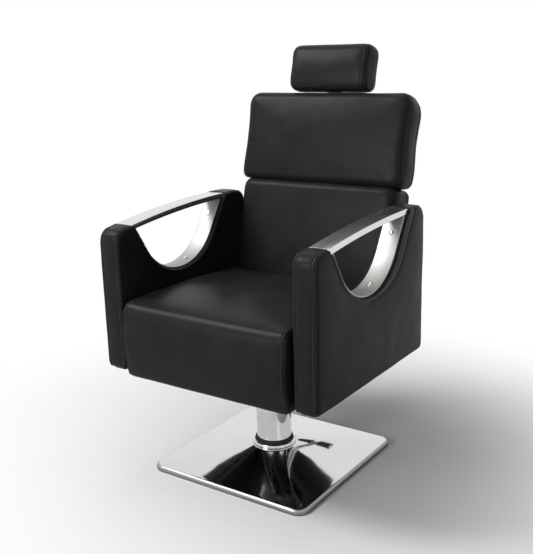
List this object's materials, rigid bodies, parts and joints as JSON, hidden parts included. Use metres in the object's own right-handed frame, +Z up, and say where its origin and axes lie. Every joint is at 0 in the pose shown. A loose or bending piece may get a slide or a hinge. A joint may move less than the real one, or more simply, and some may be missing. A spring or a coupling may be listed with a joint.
{
  "type": "threading chair",
  "caption": "Reclining salon chair with padded panel arms, steel armrests, sliding headrest and a foot-pumped swivel column on a square base",
  "frame": {"origin": "on the floor, on the axis of the column, under the middle of the square base", "axes": "+Z up; the chair faces -Y; +X is the left side of a person who sits in it"},
  "size_m": [0.66, 0.7316, 1.129],
  "materials": {
    "leather": "soft black leather",
    "chrome": "polished chrome plate",
    "zinc_steel": "zinc-plated steel",
    "dark_steel": "black enamelled steel",
    "ballast_iron": "black-painted cast iron",
    "rubber": "matt black rubber",
    "plywood": "birch plywood",
    "bush_bronze": "sintered bronze",
    "black_plastic": "matt black plastic"
  },
  "bodies": {
    "base": {"base_strip": "rubber", "base_ballast": "ballast_iron", "base_cover": "chrome", "trim_ring": "chrome", "stop_ring": "rubber", "ram": "zinc_steel", "ram_bolts": "zinc_steel"},
    "pump": {"pump_cylinder": "dark_steel", "guide_bush": "bush_bronze", "pump_shroud": "chrome", "pump_head": "dark_steel", "thrust_bearing": "zinc_steel", "spindle_nut": "zinc_steel", "pedal_pin": "zinc_steel"},
    "pedal": {"pump_pedal": "chrome", "pedal_pad": "rubber"},
    "seat": {"mount_plate": "dark_steel", "mount_bolts": "zinc_steel", "seat_bearers": "plywood", "seat_frame": "plywood", "seat_board": "plywood", "seat_cushion": "leather", "arm_core_left": "plywood", "arm_core_right": "plywood", "arm_cover_left": "leather", "arm_cover_right": "leather", "arm_liner_left": "chrome", "arm_liner_right": "chrome", "armrest_bar_left": "chrome", "armrest_bar_right": "chrome", "liner_screws_left": "chrome", "liner_screws_right": "chrome", "arm_bolts": "zinc_steel", "hinge_brackets": "dark_steel", "bracket_bolts": "zinc_steel", "hinge_pins": "zinc_steel", "strut_anchor": "zinc_steel", "lever_blocks": "black_plastic"},
    "release": {"recline_lever": "zinc_steel", "lever_grip": "black_plastic"},
    "strut_inner": {"strut_rod": "chrome"},
    "strut_outer": {"strut_cylinder": "dark_steel"},
    "back": {"back_brackets": "dark_steel", "back_screws": "zinc_steel", "recline_horn": "dark_steel", "back_board": "plywood", "back_pad_lower": "leather", "back_pad_upper": "leather", "headrest_sleeve": "zinc_steel"},
    "knob": {"headrest_knob": "black_plastic"},
    "headrest": {"headrest_post": "chrome", "headrest_pad": "leather"}
  },
  "joints": [
    {"name": "seat_lift", "type": "slide", "parent": "base", "child": "pump", "axis": [0, 0, 1], "range_m": [0, 0.13]},
    {"name": "seat_swivel", "type": "hinge", "parent": "pump", "child": "seat", "pos_m": [0, 0, 0.288], "axis": [0, 0, 1], "continuous": true},
    {"name": "pedal_pump", "type": "hinge", "parent": "pump", "child": "pedal", "pos_m": [0, 0.072, 0.262], "axis": [-1, 0, 0], "range_deg": [0, 16], "stiffness_Nm_per_rad": 6, "springref_deg": -28.65},
    {"name": "back_recline", "type": "hinge", "parent": "seat", "child": "back", "pos_m": [0, 0.228, 0.345], "axis": [-1, 0, 0], "range_deg": [0, 40]},
    {"name": "strut_pivot", "type": "hinge", "parent": "seat", "child": "strut_inner", "pos_m": [-0.11, -0.1, 0.33], "axis": [-1, 0, 0], "range_deg": [0, 0.9797]},
    {"name": "strut_slide", "type": "slide", "parent": "strut_inner", "child": "strut_outer", "axis": [0, 0.9989, -0.0467], "range_m": [-0.02422, 0]},
    {"name": "release_lift", "type": "hinge", "parent": "seat", "child": "release", "pos_m": [-0.2, -0.1, 0.296], "axis": [-1, 0, 0], "range_deg": [0, 12], "stiffness_Nm_per_rad": 1, "springref_deg": -17.19},
    {"name": "headrest_slide", "type": "slide", "parent": "back", "child": "headrest", "axis": [0, 0.2419, 0.9703], "range_m": [0, 0.09]},
    {"name": "knob_turn", "type": "hinge", "parent": "back", "child": "knob", "pos_m": [0, 0.36348, 0.88837], "axis": [0, 0.9703, -0.2419], "range_deg": [0, 180]}
  ],
  "couplings": [
    {"joint": "strut_pivot", "follows": "back_recline", "ratio": 0.024011},
    {"joint": "strut_slide", "follows": "back_recline", "m_per_rad": -0.034349}
  ]
}
